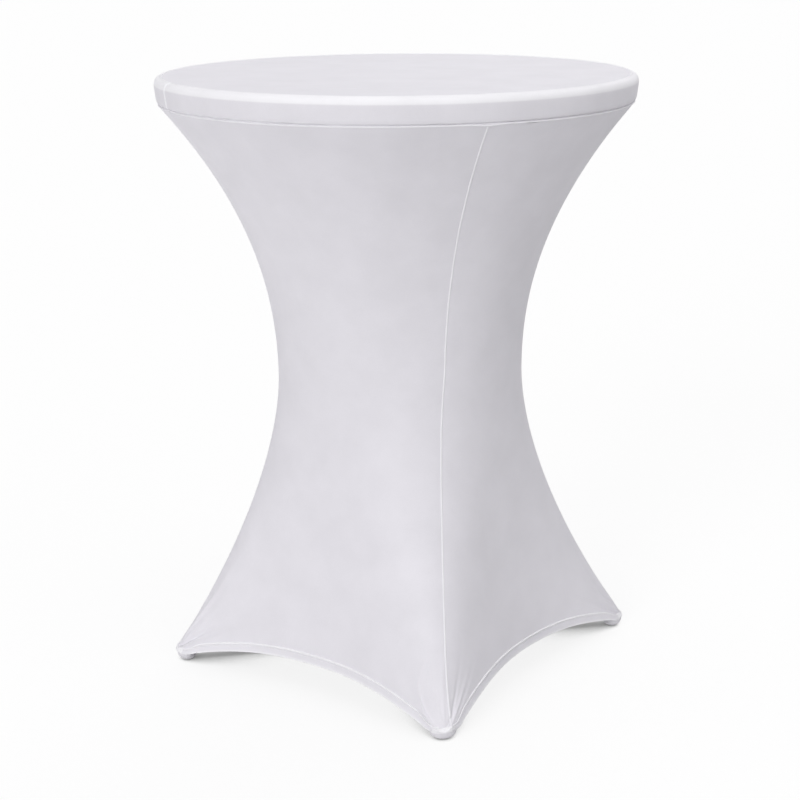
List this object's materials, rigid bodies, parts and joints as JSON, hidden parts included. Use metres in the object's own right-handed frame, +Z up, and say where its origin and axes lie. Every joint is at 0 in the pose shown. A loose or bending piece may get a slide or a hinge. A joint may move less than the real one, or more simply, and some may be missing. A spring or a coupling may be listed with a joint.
{
  "type": "covered standing table",
  "caption": "Round standing table with a fitted white stretch cover: flat top, edge band, hourglass skirt and foot pockets over a column base with levelling glides.",
  "frame": {"origin": "on the floor, under the middle of the table top", "axes": "+Z up; the four feet lie on the X and Y axes, with the front foot, where the visible skirt seam ends, at -Y"},
  "size_m": [0.8852, 0.8852, 1.1],
  "materials": {
    "white_knit": "matt stretch knit with a faint sheen",
    "stitched_knit": "folded and stitched stretch knit",
    "board_wood": "sanded board",
    "edging_plastic": "satin edging",
    "grey_paint": "satin powder coat",
    "zinc_steel": "zinc plated",
    "black_plastic": "moulded"
  },
  "bodies": {
    "table": {"cover_top_panel": "white_knit", "cover_top_seam": "stitched_knit", "cover_edge_band": "white_knit", "cover_band_join": "stitched_knit", "cover_under_seam": "stitched_knit", "skirt_panel_right": "white_knit", "skirt_panel_left": "white_knit", "skirt_seam_front": "stitched_knit", "skirt_seam_back": "stitched_knit", "hem_band_1": "stitched_knit", "hem_band_2": "stitched_knit", "hem_band_3": "stitched_knit", "hem_band_4": "stitched_knit", "pocket_strap_1": "stitched_knit", "pocket_strap_2": "stitched_knit", "pocket_strap_3": "stitched_knit", "pocket_strap_4": "stitched_knit", "tabletop_board": "board_wood", "tabletop_edging": "edging_plastic", "top_plate": "grey_paint", "top_plate_screw_1": "zinc_steel", "top_plate_screw_2": "zinc_steel", "top_plate_screw_3": "zinc_steel", "top_plate_screw_4": "zinc_steel", "column_tube": "grey_paint", "tie_rod": "zinc_steel", "rod_washer": "zinc_steel", "rod_nut": "zinc_steel", "base_hub": "grey_paint", "base_arm_1": "grey_paint", "base_arm_2": "grey_paint", "base_arm_3": "grey_paint", "base_arm_4": "grey_paint", "arm_bolt_1": "zinc_steel", "arm_bolt_2": "zinc_steel", "arm_bolt_3": "zinc_steel", "arm_bolt_4": "zinc_steel", "arm_end_plug_1": "black_plastic", "arm_end_plug_2": "black_plastic", "arm_end_plug_3": "black_plastic", "arm_end_plug_4": "black_plastic", "glide_lock_nut_1": "zinc_steel", "glide_lock_nut_2": "zinc_steel", "glide_lock_nut_3": "zinc_steel", "glide_lock_nut_4": "zinc_steel"},
    "glide_front": {"levelling_glide_1": "black_plastic", "foot_pocket_1": "white_knit"},
    "glide_right": {"levelling_glide_2": "black_plastic", "foot_pocket_2": "white_knit"},
    "glide_back": {"levelling_glide_3": "black_plastic", "foot_pocket_3": "white_knit"},
    "glide_left": {"levelling_glide_4": "black_plastic", "foot_pocket_4": "white_knit"}
  },
  "joints": [
    {"name": "glide_front_screw", "type": "slide", "parent": "table", "child": "glide_front", "axis": [0, 0, -1], "range_m": [0, 0.008]},
    {"name": "glide_right_screw", "type": "slide", "parent": "table", "child": "glide_right", "axis": [0, 0, -1], "range_m": [0, 0.008]},
    {"name": "glide_back_screw", "type": "slide", "parent": "table", "child": "glide_back", "axis": [0, 0, -1], "range_m": [0, 0.008]},
    {"name": "glide_left_screw", "type": "slide", "parent": "table", "child": "glide_left", "axis": [0, 0, -1], "range_m": [0, 0.008]}
  ]
}
